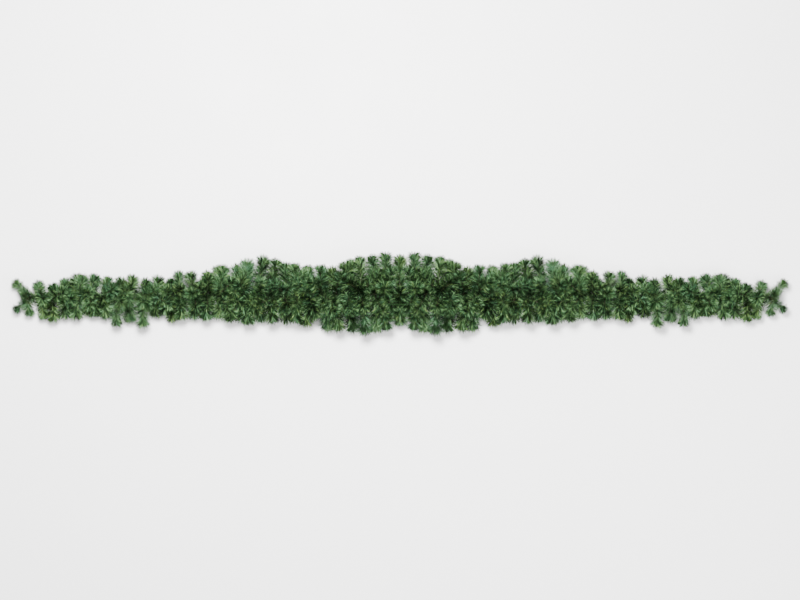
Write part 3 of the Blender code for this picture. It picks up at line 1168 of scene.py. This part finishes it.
@dataclass(frozen=True)
class PaintedShade:
    """Painted light and shade in the film's tone, by a tuft's place in the garland.

    Core is the painted shade at the spine and rim the painted light at the outer edge where the
    garland is full, and thin is the painted light at its ends, where it is slim and less shaded.
    Height counts by front_share, next to width. In the middle half, light is painted on the far
    edge and shade on the near one.
    """

    core: float = -0.14
    rim: float = 0.06
    thin: float = 0.07
    front_share: float = 0.5
    far_side_light: float = 0.12

    def shade(self, body: Body, tufts: Tufts) -> None:
        """Paints light and shade into the tone of each tuft.

        Args:
            body: The garland's overall form.
            tufts: The tufts, whose tones are changed in place.
        """
        for index, root in enumerate(tufts.roots):
            fullness = math.sqrt(body.fullness(root[0]))
            width = body.half_width(root[0])
            _, across, above = root - np.array(body.spine_point(root[0]))
            share = min(1.0, math.hypot(across, above * self.front_share) / width)
            # Painted shade at the spine, painted light towards the rim
            depth = self.core + (self.rim - self.core) * share
            inner = max(0.0, 2 * fullness - 1)
            # Painted light on the far side and painted shade on the near side, in the middle half
            depth += self.far_side_light * inner * across / width
            # Painted light at the thin ends, the painted shade and light by place where the
            # garland is full
            tufts.tones[index] += fullness * depth + (1 - fullness) * self.thin


@dataclass(frozen=True)
class Wire:
    """A closed bar swept along a line: a stem of two twisted wires, a winding or a strand."""

    width: float
    thickness: float
    sides: int = 4

    def along(
        self, bm: bmesh.types.BMesh, points: np.ndarray, headings: np.ndarray, twist: float = 0.0
    ) -> None:
        """Adds the bar to a mesh.

        Args:
            bm: The mesh that it is added to.
            points: The line's points.
            headings: The line's direction at each point.
            twist: How far the section turns from each point to the next.
        """
        own = bmesh.new()
        spans = len(points) - 1
        bmesh.ops.create_cone(
            own, cap_ends=True, segments=self.sides, radius1=1, radius2=1, depth=spans,
            matrix=Matrix.Translation((0, 0, spans / 2)),
        )
        long_edges = [e for e in own.edges if abs(e.verts[0].co.z - e.verts[1].co.z) > spans / 2]
        bmesh.ops.subdivide_edges(own, edges=long_edges, cuts=spans - 1, use_grid_fill=True)
        places = []
        for index, (point, heading) in enumerate(zip(points, headings)):
            ahead = Vector(heading)
            helper = Vector((1, 0, 0)) if abs(ahead.x) < NEAR_X else Vector((0, 0, 1))
            side = ahead.cross(helper).normalized()
            place = Matrix((side, side.cross(ahead), ahead)).transposed().to_4x4()
            turn = Matrix.Rotation(twist * index, 4, "Z")
            places.append(Matrix.Translation(Vector(point)) @ place @ turn)
        for vert in own.verts:
            place = places[round(vert.co.z)]
            vert.co = place @ Vector((vert.co.x * self.width, vert.co.y * self.thickness, 0))
        bmesh.ops.recalc_face_normals(own, faces=own.faces)
        bar = mesh_of(own, "bar")
        bm.from_mesh(bar)
        bpy.data.meshes.remove(bar)


@dataclass(frozen=True)
class Sprays:
    """Every spray: its tips' stems and needles, and the winding that holds it on the spine."""

    body: Body
    brush: Brush = field(default_factory=Brush)
    root_brush: RootBrush = field(default_factory=RootBrush)
    tuft: NeedleTuft = field(default_factory=NeedleTuft)
    # Painted light and shade in the tones, by place in the garland
    depth: PaintedShade = field(default_factory=PaintedShade)
    stem: Wire = Wire(width=0.0012, thickness=0.0007)
    stem_step: float = 0.0045
    least_spans: int = 3
    stem_twist: float = math.radians(75)
    winding: Wire = Wire(width=0.0008, thickness=0.0008)
    winding_turns: float = 3.0
    winding_reach: float = 0.0045
    winding_points_a_turn: int = 8
    seed: int = 400

    @staticmethod
    def node_name(number: int) -> str:
        """The frame's name for a spray.

        Args:
            number: The spray's number, below 0 in the left half.

        Returns:
            The name of its node.
        """
        if number == 0:
            return "spray_middle"
        half = "left" if number < 0 else "right"
        return f"spray_{half}_{abs(number):02d}"

    def wires(self, number: int, tips: list[Tip]) -> bpy.types.Mesh:
        """The stems of one spray and their winding round the spine.

        Args:
            number: The spray's number.
            tips: The spray's tips.

        Returns:
            The mesh, all of it in the wire's slot.
        """
        bm = bmesh.new()
        for tip in tips:
            spans = max(self.least_spans, round(tip.length() / self.stem_step))
            shares = np.arange(spans + 1) / spans
            self.stem.along(bm, tip.points(shares), tip.headings(shares), self.stem_twist)
        count = round(self.winding_turns * self.winding_points_a_turn)
        turns = 2 * math.pi * np.arange(count + 1) / self.winding_points_a_turn
        radius = self.body.spine_radius + self.winding.width
        centre = number * self.body.spray_pitch
        steps = np.linspace(-self.winding_reach, self.winding_reach, count + 1)
        line = []
        for turn, step in zip(turns, steps):
            ring = Vector((0, radius * math.cos(turn), radius * math.sin(turn)))
            line.append(self.body.spine_point(centre + step) + ring)
        line = np.array(line)
        self.winding.along(bm, line, unit(np.gradient(line, axis=0)))
        for face in bm.faces:
            face.material_index = Skin.WIRE.value
        return mesh_of(bm, "wires")

    def spray_mesh(self, number: int, tips: list[Tip], stamps: list[Stamp]) -> bmesh.types.BMesh:
        """One spray with its needles, stems and winding.

        Args:
            number: The spray's number.
            tips: The spray's tips.
            stamps: The variants of the tuft.

        Returns:
            The spray's mesh, with the faces of both slots.
        """
        rng = np.random.default_rng(self.seed + number)
        length = self.tuft.length
        parts = [self.brush.round_tip(tip, length, rng) for tip in tips]
        parts.append(self.root_brush.round_spine(self.body, number, length, rng))
        tufts = Tufts.joined(parts)
        # Paints light and shade into the tufts' tones by their place
        self.depth.shade(self.body, tufts)
        needles = tufts.mesh("needles", stamps, rng)
        wires = self.wires(number, tips)
        bm = bmesh.new()
        bm.from_mesh(needles)
        bm.from_mesh(wires)
        for used in (needles, wires):
            bpy.data.meshes.remove(used)
        return bm

    @staticmethod
    def keep_inside(bm: bmesh.types.BMesh, lowest: Vector, highest: Vector) -> None:
        """Moves the few points that pass the frame's box back to it."""
        for vert in bm.verts:
            vert.co = (min(max(c, low), high) for c, low, high in zip(vert.co, lowest, highest))

    def add_piece(
        self, bm: bmesh.types.BMesh, number: int, materials: dict[Skin, bpy.types.Material]
    ) -> int:
        """Adds one spray to the scene in place of its node.

        Args:
            bm: The spray's mesh.
            number: The spray's number.
            materials: The material of each slot.

        Returns:
            Its number of triangles.
        """
        node = self.node_name(number)
        mesh = bpy.data.meshes.new(node + "_brushes")
        bm.to_mesh(mesh)
        for skin in Skin:
            mesh.materials.append(materials[skin])
        piece = add_object(node + "_brushes", mesh)
        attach(piece, "root")
        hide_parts(node)
        mesh.calc_loop_triangles()
        log.info("%s: %d triangles", piece.name, len(mesh.loop_triangles))
        return len(mesh.loop_triangles)

    def build(self, tips: list[Tip], box: tuple[Vector, Vector]) -> None:
        """Builds every spray. Those of the left half are the right half's, mirrored.

        Args:
            tips: All the tips of the garland.
            box: The frame's lowest and highest corners.
        """
        stamps = self.tuft.stamps()
        materials = {Skin.FILM: FilmFinish().make(), Skin.WIRE: STEM_WIRE.make()}
        total = 0
        for number in range(self.body.sprays_per_half + 1):
            bm = self.spray_mesh(number, [tip for tip in tips if tip.spray == number], stamps)
            self.keep_inside(bm, *box)
            total += self.add_piece(bm, number, materials)
            if number:
                bmesh.ops.scale(bm, vec=(-1, 1, 1), verts=bm.verts)
                bmesh.ops.reverse_faces(bm, faces=bm.faces)
                total += self.add_piece(bm, -number, materials)
            bm.free()
        log.info("sprays: %d triangles in all", total)


@dataclass(frozen=True)
class Spine:
    """The three wires in the middle of the garland, twisted together."""

    body: Body
    strands: int = 3
    strand: Wire = Wire(width=0.00105, thickness=0.00105)
    lay: float = 0.0012
    pitch: float = 0.030
    points_a_turn: int = 6

    def build(self) -> None:
        """Adds the spine in place of its node."""
        bm = bmesh.new()
        count = round(2 * self.body.spine_half / self.pitch * self.points_a_turn)
        for number in range(self.strands):
            phase = 2 * math.pi * number / self.strands
            line = []
            for index in range(count + 1):
                turn = phase + 2 * math.pi * index / self.points_a_turn
                x = self.body.spine_half * (2 * index / count - 1)
                ring = Vector((0, self.lay * math.cos(turn), self.lay * math.sin(turn)))
                line.append(self.body.spine_point(x) + ring)
            line = np.array(line)
            self.strand.along(bm, line, unit(np.gradient(line, axis=0)))
        mesh = mesh_of(bm, "spine_strands")
        mesh.materials.append(SPINE_WIRE.make())
        piece = add_object("spine_strands", mesh)
        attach(piece, "root")
        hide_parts("spine")
        log.info("%s: %d faces", piece.name, len(mesh.polygons))


# Studio


@dataclass(frozen=True)
class Softbox:
    """One square area light that faces the garland."""

    name: str
    place: tuple[float, float, float]
    size: float
    power: float

    def build(self) -> None:
        """Adds the light."""
        data = bpy.data.lights.new(self.name, "AREA")
        data.size = self.size
        data.energy = self.power
        lamp = add_object(self.name, data)
        lamp.location = self.place
        lamp.rotation_euler = (-Vector(self.place)).to_track_quat("-Z", "Y").to_euler()


@dataclass(frozen=True)
class Studio:
    """The camera straight above the garland, a pale floor and soft light.

    The image's middle is middle_below_garland pixels nearer than the line y = 0.
    """

    metres_a_pixel: float = 0.0034615
    image_width: int = 800
    middle_below_garland: float = 6.0
    focus_height: float = 0.05
    lens: float = 100.0
    sensor: float = 36.0
    floor_size: float = 12.0
    floor_colour: tuple = ((0.35, (0.920, 0.920, 0.916)), (0.65, (0.926, 0.926, 0.922)))
    floor_patch_scale: float = 3.0
    sky: tuple[float, float, float] = (1.0, 1.0, 1.0)
    sky_strength: float = 1.1
    lights: tuple[Softbox, ...] = (
        Softbox(name="key_light", place=(-0.5, 1.4, 3.9), size=1.2, power=750.0),
        Softbox(name="fill_light", place=(1.8, -1.4, 2.8), size=2.0, power=100.0),
    )

    def add_camera(self) -> None:
        """Adds the camera, which frames the garland as the photograph does."""
        data = bpy.data.cameras.new("camera")
        data.lens = self.lens
        data.sensor_width = self.sensor
        camera = add_object("camera", data)
        distance = self.image_width * self.metres_a_pixel * self.lens / self.sensor
        y = -self.middle_below_garland * self.metres_a_pixel
        camera.location = (0, y, distance + self.focus_height)
        bpy.context.scene.camera = camera

    def add_floor(self) -> None:
        """Adds the pale floor."""
        bm = bmesh.new()
        bmesh.ops.create_grid(bm, x_segments=1, y_segments=1, size=self.floor_size / 2)
        mesh = mesh_of(bm, "floor")
        paint = PaintFinish("floor_paint", self.floor_colour, patch_scale=self.floor_patch_scale)
        mesh.materials.append(paint.make())
        floor = add_object("floor", mesh)
        floor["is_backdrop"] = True

    def add_sky(self) -> None:
        """Adds even light from all round."""
        world = bpy.data.worlds.new("studio")
        world.use_nodes = True
        background = world.node_tree.nodes["Background"]
        background.inputs["Color"].default_value = (*self.sky, 1.0)
        background.inputs["Strength"].default_value = self.sky_strength
        bpy.context.scene.world = world

    def build(self) -> None:
        """Adds the camera, the floor and all the lights."""
        self.add_camera()
        self.add_floor()
        self.add_sky()
        for light in self.lights:
            light.build()


def main() -> None:
    """Builds the garland's pieces and the studio."""
    logging.basicConfig(level=logging.INFO, format="%(name)s: %(message)s")
    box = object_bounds()
    body = Body()
    Studio().build()
    Spine(body).build()
    Sprays(body).build(Layout(body).tips(), box)


if __name__ == "__main__":
    main()
